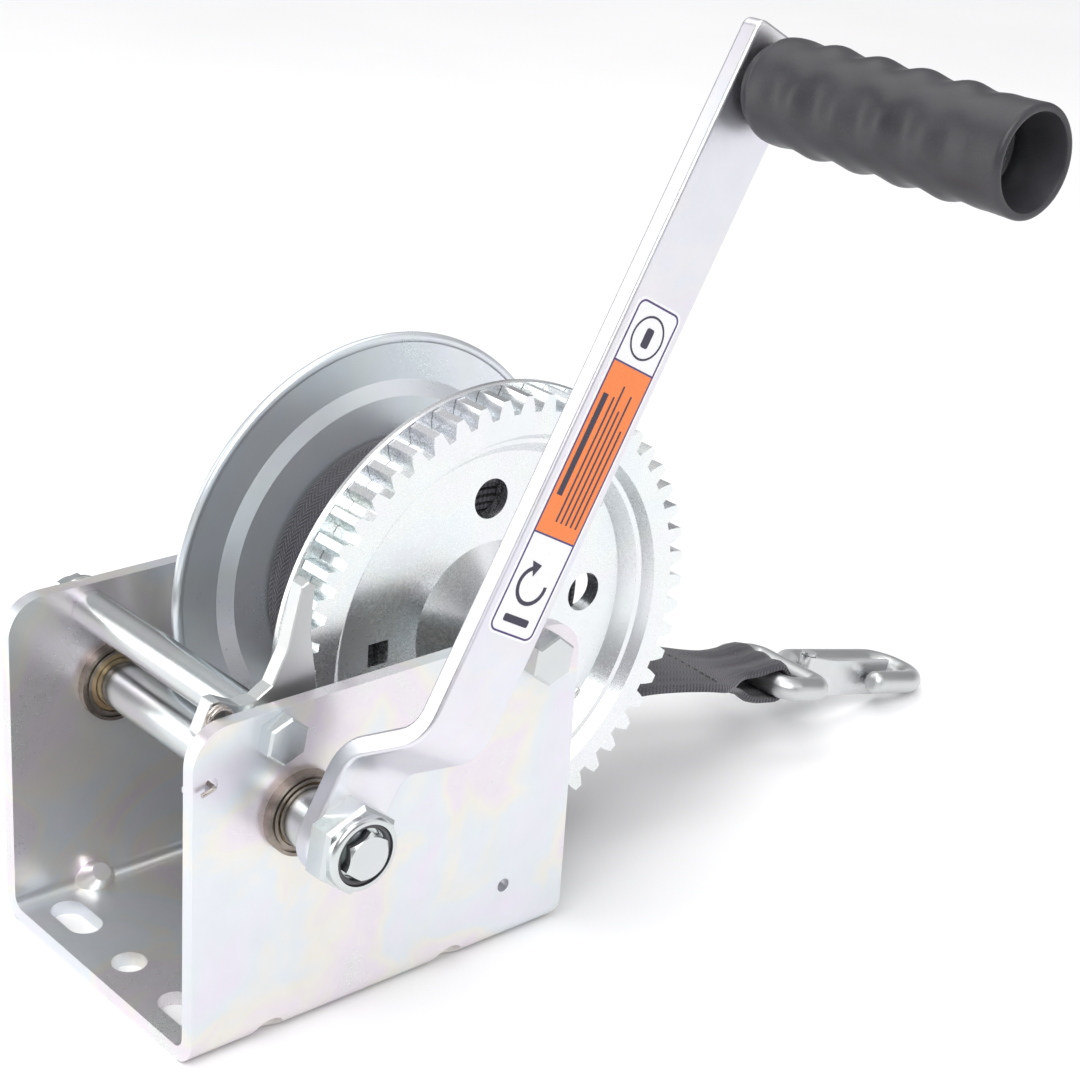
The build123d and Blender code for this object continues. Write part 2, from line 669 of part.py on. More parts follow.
def make_drum():
    """The near disc, far flange and core tube of the drum, with their welds."""
    with BuildPart() as disc:
        with BuildSketch(across(DRUM_AXIS, DISC_FACE)):
            Circle(BACK_DISC_RADIUS)
            Circle(CORE_RADIUS + 0.02, mode=Mode.SUBTRACT)
        extrude(amount=WEB)
        chamfer(disc.edges().filter_by(GeomType.CIRCLE).sort_by(SortBy.RADIUS)[-2:], length=0.5)
        extrude(windows(DISC_FACE), amount=WEB, mode=Mode.SUBTRACT)
    save(disc.part, "drum_near_disc")

    rim_face = FLANGE_FACE + FLANGE_OFFSET
    with BuildPart() as flange:
        with BuildSketch(radial(DRUM_AXIS)):
            with BuildLine():
                Polyline(
                    (FLANGE_FACE, CORE_RADIUS + 0.02),
                    (FLANGE_FACE, FLANGE_STEP_INNER),
                    (rim_face, FLANGE_STEP_OUTER),
                    (rim_face, FLANGE_RADIUS),
                    (rim_face + WEB, FLANGE_RADIUS),
                    (rim_face + WEB, FLANGE_STEP_OUTER - 1),
                    (FLANGE_FACE + WEB, FLANGE_STEP_INNER - 1),
                    (FLANGE_FACE + WEB, CORE_RADIUS + 0.02),
                    (FLANGE_FACE, CORE_RADIUS + 0.02),
                )
            make_face()
        revolve(axis=turning_axis(DRUM_AXIS))
        with BuildSketch(radial(DRUM_AXIS)):
            with Locations((rim_face + ROLLED_EDGE - 0.4, FLANGE_RADIUS)):
                Circle(ROLLED_EDGE)
        revolve(axis=turning_axis(DRUM_AXIS))
    save(flange.part, "drum_far_flange")

    core_near = GEAR_BACK + FIT_GAP
    core_far = FLANGE_FACE + WEB + 1.5
    ring("drum_core", DRUM_AXIS, core_near, core_far, CORE_RADIUS, SLEEVE_RADIUS + RUNNING_GAP)

    welds = []
    for place in WELD_ANGLES:
        angle = radians(place)
        seat = (DRUM_AXIS[0] + cos(angle) * DISH_RADIUS, DRUM_AXIS[1] + sin(angle) * DISH_RADIUS)
        bead = Plane(
            origin=(seat[0], GEAR_BACK - WEB - 0.8, seat[1]),
            x_dir=(cos(angle), 0, sin(angle)),
            z_dir=(-sin(angle), 0, cos(angle)),
        )
        with BuildPart() as weld:
            with BuildSketch(bead.offset(-WELD_LENGTH / 2)):
                with Locations((-WELD_RADIUS, 0)):
                    Circle(WELD_RADIUS / 2)
            extrude(amount=WELD_LENGTH)
            fillet(weld.edges(), radius=0.8)
        welds.append(weld.part)
    save(Compound(children=welds), "drum_welds")

    anchor = on_circle(ANCHOR_CIRCLE, -90)
    anchor_axis = (DRUM_AXIS[0] + anchor[0], DRUM_AXIS[1] + anchor[1])
    with BuildPart() as bolt:
        with BuildSketch(across(anchor_axis, PACK_FAR)):
            Circle(ANCHOR_RADIUS)
        extrude(amount=STRAP_WIDTH)
    save(bolt.part, "strap_anchor_pin")

    with BuildPart() as pack:
        with BuildSketch(across(DRUM_AXIS, PACK_FAR)):
            Circle(PACK_RADIUS)
            Circle(CORE_RADIUS + 0.05, mode=Mode.SUBTRACT)
            with Locations(anchor):
                Circle(ANCHOR_RADIUS + 0.05, mode=Mode.SUBTRACT)
        extrude(amount=STRAP_WIDTH)
    save(pack.part, "strap_pack")


# ---------------------------------------------------------------- pawl
def make_pawl():
    """The two-nosed pawl with its thumb lever, and the spring that holds it over."""
    outline = [
        (-19.2, -0.8),
        (-20.2, 1.6),
        (-16.0, 10.8),
        (-13.6, 10.8),
        (-7.0, 7.4),
        (-1.0, 7.6),
        (4.0, 10.4),
        (9.0, 20.0),
        (13.6, 38.4),
        (16.0, 39.6),
        (18.0, 38.2),
        (17.0, 24.0),
        (19.6, 6.0),
        (20.4, -7.2),
        (19.2, -8.4),
        (12.0, -2.6),
        (6.6, -2.2),
        (-6.6, -2.2),
    ]
    with BuildPart() as pawl:
        with BuildSketch(across(TIE_AXIS, PAWL_NEAR + PAWL_THICKNESS)):
            body = Polygon(*outline, align=None)
            fillet(body.vertices(), radius=0.6)
            Circle(PAWL_HUB)
            Circle(TIE_RADIUS + RUNNING_GAP, mode=Mode.SUBTRACT)
        extrude(amount=PAWL_THICKNESS)
        flat_faces = pawl.faces().filter_by(Axis.Y)
        chamfer(flat_faces.sort_by(Axis.Y)[0].outer_wire().edges(), length=0.35)
    save(pawl.part, "ratchet_pawl")

    middle = (NEAR_INSIDE + PAWL_NEAR) / 2
    half = SPRING_COILS * 0.5 * SPRING_WIRE * 2.2
    with BuildPart() as spring:
        with BuildSketch(radial(SPRING_CENTRE)):
            for coil in range(SPRING_COILS):
                place = middle - half + 2 * half * (coil + 0.5) / SPRING_COILS
                with Locations((place, SPRING_COIL_RADIUS)):
                    Circle(SPRING_WIRE)
            with Locations((middle, SPRING_COIL_RADIUS)):
                Rectangle(2 * half - 2 * SPRING_WIRE, 0.5)
        revolve(axis=turning_axis(SPRING_CENTRE))
        hole = SPRING_HOLE
        shoulder = (SPRING_CENTRE[0] - SPRING_COIL_RADIUS, middle, SPRING_CENTRE[1])
        with BuildLine() as leg:
            FilletPolyline(
                shoulder,
                (hole[0], middle, hole[1]),
                (hole[0], NEAR_FACE - 1.8, hole[1]),
                (hole[0] - 4.2, NEAR_FACE - 1.8, hole[1] - 1.2),
                radius=1.0,
            )
        with BuildSketch(Plane(origin=leg.line @ 0, z_dir=leg.line % 0)):
            Circle(SPRING_WIRE)
        sweep(path=leg.line)
    save(spring.part, "pawl_spring")


# ---------------------------------------------------------------- strap tail and hook
def make_tail():
    """The free end of the strap, from the pack to its sewn loop round the hook's eye."""
    middle_radius = PACK_RADIUS + TAIL_CLEARANCE + PLY / 2
    bottom = DRUM_AXIS[1] - middle_radius
    with BuildPart() as tail:
        with BuildSketch(across((0, 0), PACK_FAR)):
            with BuildLine():
                wrap = CenterArc(DRUM_AXIS, middle_radius, TAIL_START_ANGLE, 270 - TAIL_START_ANGLE)
                FilletPolyline(
                    wrap @ 1,
                    (110, bottom),
                    (140, bottom - 2.5),
                    (166, bottom - 9.0),
                    (186, bottom - 17.0),
                    radius=30,
                )
            trace(line_width=PLY)
        extrude(amount=STRAP_WIDTH)
    save(tail.part, "strap_tail")

    reach = BAR_RADIUS + LOOP_GAP + PLY / 2
    with BuildPart() as loop:
        with BuildSketch(across((0, 0), STRAP_MIDDLE + LOOP_WIDTH / 2)):
            with BuildLine():
                FilletPolyline(
                    (186.6, bottom - 17.3),
                    (EYE[0] - 12, EYE[1] + reach + 1.2),
                    (EYE[0] + reach, EYE[1] + reach),
                    (EYE[0] + reach, EYE[1] - reach),
                    (EYE[0] - reach, EYE[1] - reach),
                    (EYE[0] - 14, EYE[1] + 0.5),
                    (186.5, bottom - 20.4),
                    (168, bottom - 12.9),
                    radius=[4, 6, 6, 5, 8, 20],
                )
            trace(line_width=PLY)
        extrude(amount=LOOP_WIDTH)
    save(loop.part, "strap_loop")


def hook_plane():
    """Plane of the hook: origin at the eye's bar, x towards the nose, y along +Y."""
    return Plane(
        origin=(EYE[0], STRAP_MIDDLE, EYE[1]),
        x_dir=(cos(HOOK_DROOP), 0, -sin(HOOK_DROOP)),
        z_dir=(sin(HOOK_DROOP), 0, cos(HOOK_DROOP)),
    )


def bar_path(points, corners, close=False):
    """The rounded middle line of a bar, in the hook's plane."""
    with BuildLine(hook_plane()) as path:
        FilletPolyline(*points, radius=corners, close=close)
    return path.line


def make_hook():
    """The forged hook, with a closed eye for the strap and a sprung leaf over its mouth."""
    with BuildPart() as hook:
        eye = bar_path(
            [
                (0, EYE_HALF_WIDTH),
                (0, -EYE_HALF_WIDTH),
                (EYE_DEPTH, -EYE_HALF_WIDTH),
                (EYE_DEPTH, EYE_HALF_WIDTH),
            ],
            5.0,
            close=True,
        )
        with BuildSketch(Plane(origin=eye @ 0, z_dir=eye % 0)):
            Circle(BAR_RADIUS)
        sweep(path=eye)
        shank = bar_path(
            [
                (EYE_DEPTH, 4),
                (EYE_DEPTH + 12, HOOK_HALF_WIDTH),
                (HOOK_LENGTH, HOOK_HALF_WIDTH),
                (HOOK_LENGTH, -HOOK_HALF_WIDTH),
                (NOSE_END, -HOOK_HALF_WIDTH - 0.5),
            ],
            [8, 10.5, 10.5],
        )
        with BuildSketch(Plane(origin=shank @ 0, z_dir=shank % 0)):
            Circle(BAR_RADIUS)
        sweep(path=shank)
        nose = hook.edges().filter_by(GeomType.CIRCLE).sort_by_distance(shank @ 1)[0]
        fillet(nose, radius=NOSE_ROUNDING)
        with BuildSketch(hook_plane().offset(-LUG_THICKNESS / 2)):
            with Locations(KEEPER_PIVOT):
                Circle(KEEPER_KNUCKLE - 0.2)
            with Locations((KEEPER_PIVOT[0], KEEPER_PIVOT[1] + 4)):
                Rectangle(2 * KEEPER_KNUCKLE - 0.4, 8)
            with Locations(KEEPER_PIVOT):
                Circle(KEEPER_PIN + 0.02, mode=Mode.SUBTRACT)
        extrude(amount=LUG_THICKNESS)
    save(hook.part, "hook_body")

    with BuildPart() as pin:
        with BuildSketch(hook_plane().offset(-KEEPER_HEIGHT / 2 - 1.2)):
            with Locations(KEEPER_PIVOT):
                Circle(KEEPER_PIN)
        extrude(amount=KEEPER_HEIGHT + 2.4)
        for head in (-KEEPER_HEIGHT / 2 - 1.2, KEEPER_HEIGHT / 2 + 0.2):
            with BuildSketch(hook_plane().offset(head)):
                with Locations(KEEPER_PIVOT):
                    Circle(KEEPER_KNUCKLE - 0.4)
            extrude(amount=1.0)
    save(pin.part, "keeper_pin")

    with BuildPart() as keeper:
        inner = -HOOK_HALF_WIDTH + BAR_RADIUS + 0.4
        with BuildSketch(hook_plane().offset(-KEEPER_HEIGHT / 2)):
            with BuildLine():
                FilletPolyline(
                    (KEEPER_PIVOT[0], KEEPER_PIVOT[1] - KEEPER_KNUCKLE + KEEPER_THICKNESS / 2),
                    (KEEPER_PIVOT[0] + 8, inner),
                    (KEEPER_END, inner + KEEPER_THICKNESS / 2),
                    radius=12,
                )
            trace(line_width=KEEPER_THICKNESS)
            with Locations(KEEPER_PIVOT):
                Circle(KEEPER_KNUCKLE)
                Circle(KEEPER_PIN + RUNNING_GAP, mode=Mode.SUBTRACT)
        extrude(amount=KEEPER_HEIGHT)
        with BuildSketch(hook_plane().offset(-LUG_THICKNESS / 2 - FIT_GAP)):
            with Locations(KEEPER_PIVOT):
                Circle(KEEPER_KNUCKLE + 0.3)
                Rectangle(12, 12, align=(Align.CENTER, Align.MIN))
        extrude(amount=LUG_THICKNESS + 2 * FIT_GAP, mode=Mode.SUBTRACT)
    save(keeper.part, "hook_keeper")


make_frame()
make_bearings()
make_tie()
make_drum_axle()
make_pinion()
make_shaft()
make_crank_arm()
make_crank_nut()
make_label()
make_grip()
make_gear()
make_drum()
make_pawl()
make_tail()
make_hook()
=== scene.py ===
"""A boat trailer winch: its looks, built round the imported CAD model.

Lengths are in metres, in the row frame: X towards the hook, Y towards the far plate, Z up.
"""

import json
from math import atan2, ceil, cos, pi, radians, sin

import bmesh
import bpy
from mathutils import Matrix, Vector, noise


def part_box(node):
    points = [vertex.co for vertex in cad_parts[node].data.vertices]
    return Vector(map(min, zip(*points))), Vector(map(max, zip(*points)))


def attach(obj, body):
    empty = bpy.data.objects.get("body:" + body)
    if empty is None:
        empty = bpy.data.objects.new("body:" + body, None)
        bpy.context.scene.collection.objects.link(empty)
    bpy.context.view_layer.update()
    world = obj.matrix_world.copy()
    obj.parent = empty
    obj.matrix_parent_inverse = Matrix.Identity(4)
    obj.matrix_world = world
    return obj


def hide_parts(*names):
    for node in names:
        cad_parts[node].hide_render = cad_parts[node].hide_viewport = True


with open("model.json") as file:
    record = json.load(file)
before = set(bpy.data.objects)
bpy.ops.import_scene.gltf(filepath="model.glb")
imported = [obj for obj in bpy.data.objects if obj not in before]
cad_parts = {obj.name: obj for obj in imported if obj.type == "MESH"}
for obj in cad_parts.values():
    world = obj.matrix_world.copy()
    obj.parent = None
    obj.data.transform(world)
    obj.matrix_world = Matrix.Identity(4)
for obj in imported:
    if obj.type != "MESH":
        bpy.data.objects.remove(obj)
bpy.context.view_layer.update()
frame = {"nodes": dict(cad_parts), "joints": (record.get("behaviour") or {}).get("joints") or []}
nodes = frame["nodes"]
joints = {joint["name"]: joint for joint in frame["joints"]}
MM = 0.001

# ---------------------------------------------------------------- sizes
STRAP_PLY = 2.2 * MM
STRAP_PITCH = 2.34 * MM
STRAP_WIDTH = 47.0 * MM
WOUND_TRIM = 0.15 * MM
TURN_STEPS = 72
TAIL_GAP = 0.45 * MM
LOOP_WIDTH = 25.0 * MM
LOOP_BAR = 4.4 * MM
LOOP_GAP = 0.9 * MM
STITCH_ROWS = 4
STITCHES_PER_ROW = 12
STITCH_THICK = 0.34 * MM
GRIP_RADIUS = 14.4 * MM
GRIP_BORE = 6.45 * MM
GRIP_LUMPS = 5
GRIP_LUMP_HEIGHT = 0.6 * MM
LABEL_START = 72.0 * MM
LABEL_END = 171.0 * MM
LABEL_WIDTH = 18.8 * MM
LABEL_FILM = 0.10 * MM
LABEL_PRINT = 0.07 * MM
LABEL_MARK = 0.05 * MM
LABEL_EDGE = 0.7 * MM
LABEL_LINE = 0.55 * MM
SHARP_ANGLE = radians(26)
MESH_SHARP_ANGLE = radians(38)
LIGHT_TARGET = (0.03, -0.03, 0.10)


# ---------------------------------------------------------------- materials
class Look:
    """A material with a few short ways to add nodes."""

    def __init__(self, name):
        self.material = bpy.data.materials.new(name)
        self.material.use_nodes = True
        self.tree = self.material.node_tree
        self.tree.nodes.clear()
        self.shader = self.tree.nodes.new("ShaderNodeBsdfPrincipled")
        output = self.tree.nodes.new("ShaderNodeOutputMaterial")
        self.link(self.shader.outputs[0], output.inputs["Surface"])
        self.place = self.tree.nodes.new("ShaderNodeTexCoord").outputs["Object"]

    def link(self, start, end):
        self.tree.links.new(start, end)

    def fixed(self, **values):
        for name, value in values.items():
            self.shader.inputs[name.replace("_", " ").title()].default_value = value

    def stretched(self, scale, rotation=(0, 0, 0)):
        node = self.tree.nodes.new("ShaderNodeMapping")
        node.inputs["Scale"].default_value = scale
        node.inputs["Rotation"].default_value = rotation
        self.link(self.place, node.inputs["Vector"])
        return node.outputs[0]

    def noise(self, scale, detail=4.0, roughness=0.55, source=None, distortion=0.0):
        node = self.tree.nodes.new("ShaderNodeTexNoise")
        node.inputs["Scale"].default_value = scale
        node.inputs["Detail"].default_value = detail
        node.inputs["Roughness"].default_value = roughness
        node.inputs["Distortion"].default_value = distortion
        self.link(source or self.place, node.inputs["Vector"])
        return node.outputs["Fac"]

    def cells(self, scale):
        node = self.tree.nodes.new("ShaderNodeTexVoronoi")
        node.inputs["Scale"].default_value = scale
        self.link(self.place, node.inputs["Vector"])
        return node.outputs["Distance"]

    def ramp(self, source, stops):
        node = self.tree.nodes.new("ShaderNodeValToRGB")
        points = node.color_ramp.elements
        while len(points) < len(stops):
            points.new(0.5)
        for point, (place, color) in zip(points, stops):
            point.position = place
            point.color = (*color, 1)
        self.link(source, node.inputs["Fac"])
        return node.outputs["Color"]

    def spread(self, source, low, high, start=0.0, end=1.0):
        node = self.tree.nodes.new("ShaderNodeMapRange")
        limits = {"From Min": start, "From Max": end, "To Min": low, "To Max": high}
        for name, value in limits.items():
            node.inputs[name].default_value = value
        self.link(source, node.inputs["Value"])
        return node.outputs[0]

    def math(self, operation, first, second=None):
        node = self.tree.nodes.new("ShaderNodeMath")
        node.operation = operation
        for socket, value in zip(node.inputs, (first, second)):
            if isinstance(value, (int, float)):
                socket.default_value = value
            elif value is not None:
                self.link(value, socket)
        return node.outputs[0]

    def mix(self, factor, first, second, kind="MIX"):
        node = self.tree.nodes.new("ShaderNodeMix")
        node.data_type = "RGBA"
        node.blend_type = kind
        sockets = [s for s in node.inputs if s.type == "RGBA"]
        if isinstance(factor, (int, float)):
            node.inputs[0].default_value = factor
        else:
            self.link(factor, node.inputs[0])
        for socket, value in zip(sockets, (first, second)):
            if isinstance(value, tuple):
                socket.default_value = (*value, 1)
            else:
                self.link(value, socket)
        return [s for s in node.outputs if s.type == "RGBA"][0]

    def to(self, name, source):
        self.link(source, self.shader.inputs[name])

    def bump(self, height, depth, strength=1.0):
        node = self.tree.nodes.new("ShaderNodeBump")
        node.inputs["Distance"].default_value = depth
        node.inputs["Strength"].default_value = strength
        self.link(height, node.inputs["Height"])
        before = self.shader.inputs["Normal"].links
        if before:
            self.link(before[0].from_socket, node.inputs["Normal"])
        self.link(node.outputs[0], self.shader.inputs["Normal"])


def zinc_look(name, tone, tint, rough, grain_depth=0.004 * MM, metallic=1.0):
    """Bright zinc plate: cloudy passivation colours, fine grain and a few rub marks."""
    look = Look(name)
    look.fixed(metallic=metallic)
    cloud = look.noise(26, 3, 0.5, distortion=0.6)
    rainbow = look.ramp(
        cloud,
        [
            (0.30, (0.86, 0.90, 0.84)),
            (0.42, (0.93, 0.84, 0.90)),
            (0.50, (0.95, 0.93, 0.80)),
            (0.58, (0.84, 0.92, 0.93)),
            (0.70, (0.90, 0.86, 0.95)),
        ],
    )
    plain = look.ramp(look.noise(90, 4), [(0.3, tuple(0.965 * v for v in tone)), (0.7, tone)])
    color = look.mix(tint, plain, rainbow, "MULTIPLY")
    rubs = look.noise(420, 3, 0.7, source=look.stretched((1, 1, 0.15), (0.4, 0.9, 0.2)))
    marks = look.spread(rubs, 0.0, 0.10, 0.62, 0.80)
    look.to("Base Color", look.mix(marks, color, tuple(0.72 * v for v in tone)))
    fine = look.noise(1100, 3)
    matt = look.spread(fine, rough - 0.02, rough + 0.05, 0.3, 0.7)
    look.to("Roughness", look.math("ADD", matt, look.spread(cloud, -0.03, 0.04, 0.3, 0.7)))
    look.bump(look.noise(38, 1), 0.05 * MM, 0.30)
    look.bump(fine, grain_depth, 0.35)
    return look.material


def turned_look(name, tone, rough):
    """Machined steel or bronze with tool rings and a film of oil."""
    look = Look(name)
    look.fixed(metallic=1.0)
    stain = look.noise(220, 5, 0.6)
    look.to("Base Color", look.ramp(stain, [(0.3, tuple(0.62 * v for v in tone)), (0.65, tone)]))
    look.to("Roughness", look.spread(look.noise(700, 3), rough - 0.07, rough + 0.12, 0.3, 0.7))
    look.bump(look.noise(1500, 2, source=look.stretched((1, 0.1, 1))), 0.01 * MM, 0.5)
    return look.material


def moulded_look(name, low, high, rough, pebble, depth):
    """Moulded plastic or rubber with a fine spark texture and dusty highlights."""
    look = Look(name)
    blotch = look.noise(70, 4, 0.6)
    speck = look.noise(2600, 2, 0.7)
    base = look.ramp(blotch, [(0.3, low), (0.7, high)])
    dust = look.spread(speck, 0.0, 0.35, 0.55, 0.8)
    look.to("Base Color", look.mix(dust, base, tuple(2.2 * v + 0.01 for v in high)))
    look.to("Roughness", look.spread(blotch, rough - 0.06, rough + 0.08, 0.3, 0.7))
    look.bump(look.noise(pebble, 3, 0.6), depth, 0.6)
    return look.material


def weld_look(name):
    """A weld run with ripples, spatter and heat tint under the plating."""
    look = Look(name)
    look.fixed(metallic=1.0)
    heat = look.noise(180, 4)
    tint = [(0.3, (0.50, 0.49, 0.47)), (0.5, (0.72, 0.73, 0.72)), (0.7, (0.66, 0.62, 0.55))]
    look.to("Base Color", look.ramp(heat, tint))
    look.to("Roughness", look.spread(look.noise(600, 4), 0.28, 0.55, 0.3, 0.7))
    look.bump(look.cells(520), 0.25 * MM, 0.8)
    look.bump(look.noise(900, 4), 0.06 * MM, 0.7)
    return look.material


def webbing_look(name, dark, light):
    """Woven webbing: a herringbone of yarns from the strip's own length and width in metres."""
    look = Look(name)
    flat = look.tree.nodes.new("ShaderNodeUVMap")
    flat.uv_map = "strip"
    parts = look.tree.nodes.new("ShaderNodeSeparateXYZ")
    look.link(flat.outputs[0], parts.inputs[0])
    across, along = parts.outputs[0], parts.outputs[1]
    column_width, rib_spacing, yarn_spacing = 2.6 * MM, 1.7 * MM, 0.85 * MM
    column = look.math("PINGPONG", across, column_width)
    slant = look.math("ADD", along, look.math("MULTIPLY", column, 1.1))
    ribs = look.math("SINE", look.math("MULTIPLY", slant, 2 * pi / rib_spacing))
    yarns = look.math("SINE", look.math("MULTIPLY", across, 2 * pi / yarn_spacing))
    weave = look.math("ADD", look.spread(ribs, 0, 0.7, -1, 1), look.spread(yarns, 0, 0.3, -1, 1))
    fibres = look.noise(1700, 4, 0.7)
    fade = look.noise(45, 4, 0.6)
    tone = look.math("ADD", look.math("MULTIPLY", weave, 0.6), look.math("MULTIPLY", fibres, 0.4))
    color = look.ramp(tone, [(0.22, dark), (0.78, light)])
    worn = look.spread(fade, 0.0, 0.4, 0.45, 0.75)
    look.to("Base Color", look.mix(worn, color, tuple(1.35 * v for v in light)))
    look.to("Roughness", look.spread(fibres, 0.62, 0.85, 0.3, 0.7))
    look.fixed(sheen_weight=0.25, sheen_roughness=0.4)
    look.bump(weave, 0.28 * MM, 0.9)
    look.bump(fibres, 0.05 * MM, 0.6)
    return look.material


def print_look(name, color):
    """Printed vinyl film with faint ink grain and scuffs."""
    look = Look(name)
    grain = look.noise(1800, 3)
    look.to("Base Color", look.ramp(grain, [(0.3, tuple(0.93 * v for v in color)), (0.7, color)]))
    look.to("Roughness", look.spread(look.noise(160, 5, 0.7), 0.24, 0.46, 0.35, 0.7))
    look.bump(look.noise(300, 2), 0.02 * MM, 0.3)
    return look.material


plate_look = zinc_look("zinc_sheet", (0.85, 0.84, 0.865), 0.70, 0.30, metallic=0.82)
part_look = zinc_look("zinc_part", (0.84, 0.87, 0.885), 0.25, 0.25)
flange_look = zinc_look("zinc_flange", (0.80, 0.845, 0.89), 0.25, 0.30, metallic=0.75)
arm_look = zinc_look("zinc_arm", (0.80, 0.795, 0.845), 0.25, 0.33)
bolt_look = zinc_look("zinc_fastener", (0.66, 0.69, 0.70), 0.20, 0.20)
leaf_look = zinc_look("zinc_leaf", (0.70, 0.715, 0.725), 0.15, 0.30)
cast_look = zinc_look("zinc_forged", (0.64, 0.655, 0.66), 0.15, 0.38, grain_depth=0.03 * MM)
ring_look = turned_look("oiled_steel", (0.36, 0.31, 0.27), 0.34)
bronze_look = turned_look("sintered_bronze", (0.55, 0.40, 0.24), 0.42)
spring_look = turned_look("spring_wire", (0.66, 0.60, 0.56), 0.28)
nylon_look = moulded_look("nylon", (0.05, 0.05, 0.055), (0.09, 0.09, 0.10), 0.42, 900, 0.02 * MM)
grip_dark, grip_light = (0.026, 0.026, 0.031), (0.044, 0.044, 0.051)
grip_look = moulded_look("moulded_grip", grip_dark, grip_light, 0.42, 2300, 0.02 * MM)
bead_look = weld_look("weld_bead")
strap_look = webbing_look("webbing", (0.013, 0.012, 0.016), (0.082, 0.078, 0.094))
thread_look = webbing_look("stitch_thread", (0.03, 0.03, 0.034), (0.16, 0.155, 0.17))
film_look = print_look("label_film", (0.90, 0.90, 0.92))
border_look = print_look("label_border", (0.075, 0.045, 0.16))
orange_look = print_look("label_orange", (0.90, 0.23, 0.055))
black_look = print_look("label_marks", (0.035, 0.03, 0.06))

special = {
    "channel_frame": plate_look,
    "near_bearing_race": ring_look,
    "far_bearing_race": ring_look,
    "near_bushing": bronze_look,
    "far_bushing": bronze_look,
    "nut_insert": nylon_look,
    "drum_welds": bead_look,
    "pawl_spring": spring_look,
    "hook_body": cast_look,
    "keeper_pin": cast_look,
    "ratchet_pawl": cast_look,
    "hook_keeper": leaf_look,
    "crank_arm": arm_look,
    "drum_far_flange": flange_look,
}
fasteners = (
    "crank_nut",
    "pinion_shaft",
    "tie_bolt",
    "tie_nut",
    "tie_washer",
    "shaft_clip",
    "pinion",
    "grip_spindle",
    "drum_axle_bolt",
    "drum_axle_nut",
    "drum_axle_washer",
    "crank_spacer",
    "spacer_tube",
)
special.update({name: bolt_look for name in fasteners})
for name, piece in nodes.items():
    look = special.get(name, part_look)
    if not piece.data.materials:
        piece.data.materials.append(look)
    for place in piece.material_slots:
        place.material = look
    split = piece.modifiers.new("sharp_edges", "EDGE_SPLIT")
    split.split_angle = SHARP_ANGLE
    flat = piece.modifiers.new("flat_faces", "WEIGHTED_NORMAL")
    flat.keep_sharp = True


# ---------------------------------------------------------------- mesh helpers
def solid(name, points, faces, look, body, flat_map=None):
    """A mesh piece of its own, smooth, riding on a body."""
    mesh = bpy.data.meshes.new(name)
    mesh.from_pydata([tuple(p) for p in points], [], faces)
    mesh.validate()
    looks = look if isinstance(look, list) else [look]
    for each in looks:
        mesh.materials.append(each)
    if flat_map:
        layer = mesh.uv_layers.new(name="strip")
        for loop in mesh.loops:
            layer.data[loop.index].uv = flat_map[loop.vertex_index]
    work = bmesh.new()
    work.from_mesh(mesh)
    bmesh.ops.recalc_face_normals(work, faces=work.faces)
    work.to_mesh(mesh)
    work.free()
    mesh.set_sharp_from_angle(angle=MESH_SHARP_ANGLE)
    piece = bpy.data.objects.new(name, mesh)
    bpy.context.scene.collection.objects.link(piece)
    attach(piece, body)
    return piece


def turned(name, axis, profile, look, body, sides=96):
    """A closed profile of (y, radius, lump height, lump phase) turned about a line along Y."""
    points, faces = [], []
    for y, radius, lump, phase in profile:
        for side in range(sides):
            turn = 2 * pi * side / sides
            bulge = lump * (0.55 * cos(phase) + 0.75 * cos(phase) * cos(4 * turn + 0.6))
            reach = radius + bulge
            points.append((axis[0] + reach * cos(turn), y, axis[1] + reach * sin(turn)))
    rows = len(profile)
    for row in range(rows):
        for side in range(sides):
            here, there = row * sides, ((row + 1) % rows) * sides
            after = (side + 1) % sides
            faces.append((here + side, here + after, there + after, there + side))
    return solid(name, points, faces, look, body)


def smooth_line(points, step):
    """Points every so far along a smooth curve through the given points."""
    line = [Vector(p) for p in points]
    ends = [2 * line[0] - line[1]] + line + [2 * line[-1] - line[-2]]
    out = []
    for index in range(1, len(ends) - 2):
        p0, p1, p2, p3 = ends[index - 1 : index + 3]
        count = max(1, ceil((p2 - p1).length / step))
        for part in range(count):
            t = part / count
            straight = 2 * p1 + (p2 - p0) * t
            square = (2 * p0 - 5 * p1 + 4 * p2 - p3) * t**2
            cube = (3 * p1 - p0 - 3 * p2 + p3) * t**3
            out.append(0.5 * (straight + square + cube))
    return out + [line[-1]]


def distances(line):
    """The length along a line at each of its points."""
    lengths = [0.0]
    for before, after in zip(line, line[1:]):
        lengths.append(lengths[-1] + (after - before).length)
    return lengths


def strip_faces(rows, columns):
    """Faces of a closed strip whose rows each have their front points and then their back points."""
    faces = []
    row = 2 * columns
    for index in range(rows - 1):
        a, b = index * row, (index + 1) * row
        for column in range(columns - 1):
            under = columns + column
            faces.append((a + column, a + column + 1, b + column + 1, b + column))
            faces.append((a + under + 1, a + under, b + under, b + under + 1))
        faces.append((a, b, b + columns, a + columns))
        faces.append((a + columns - 1, a + row - 1, b + row - 1, b + columns - 1))
    for start in (0, (rows - 1) * row):
        for column in range(columns - 1):
            under = columns + column
            faces.append((start + column, start + column + 1, start + under + 1, start + under))
    return faces


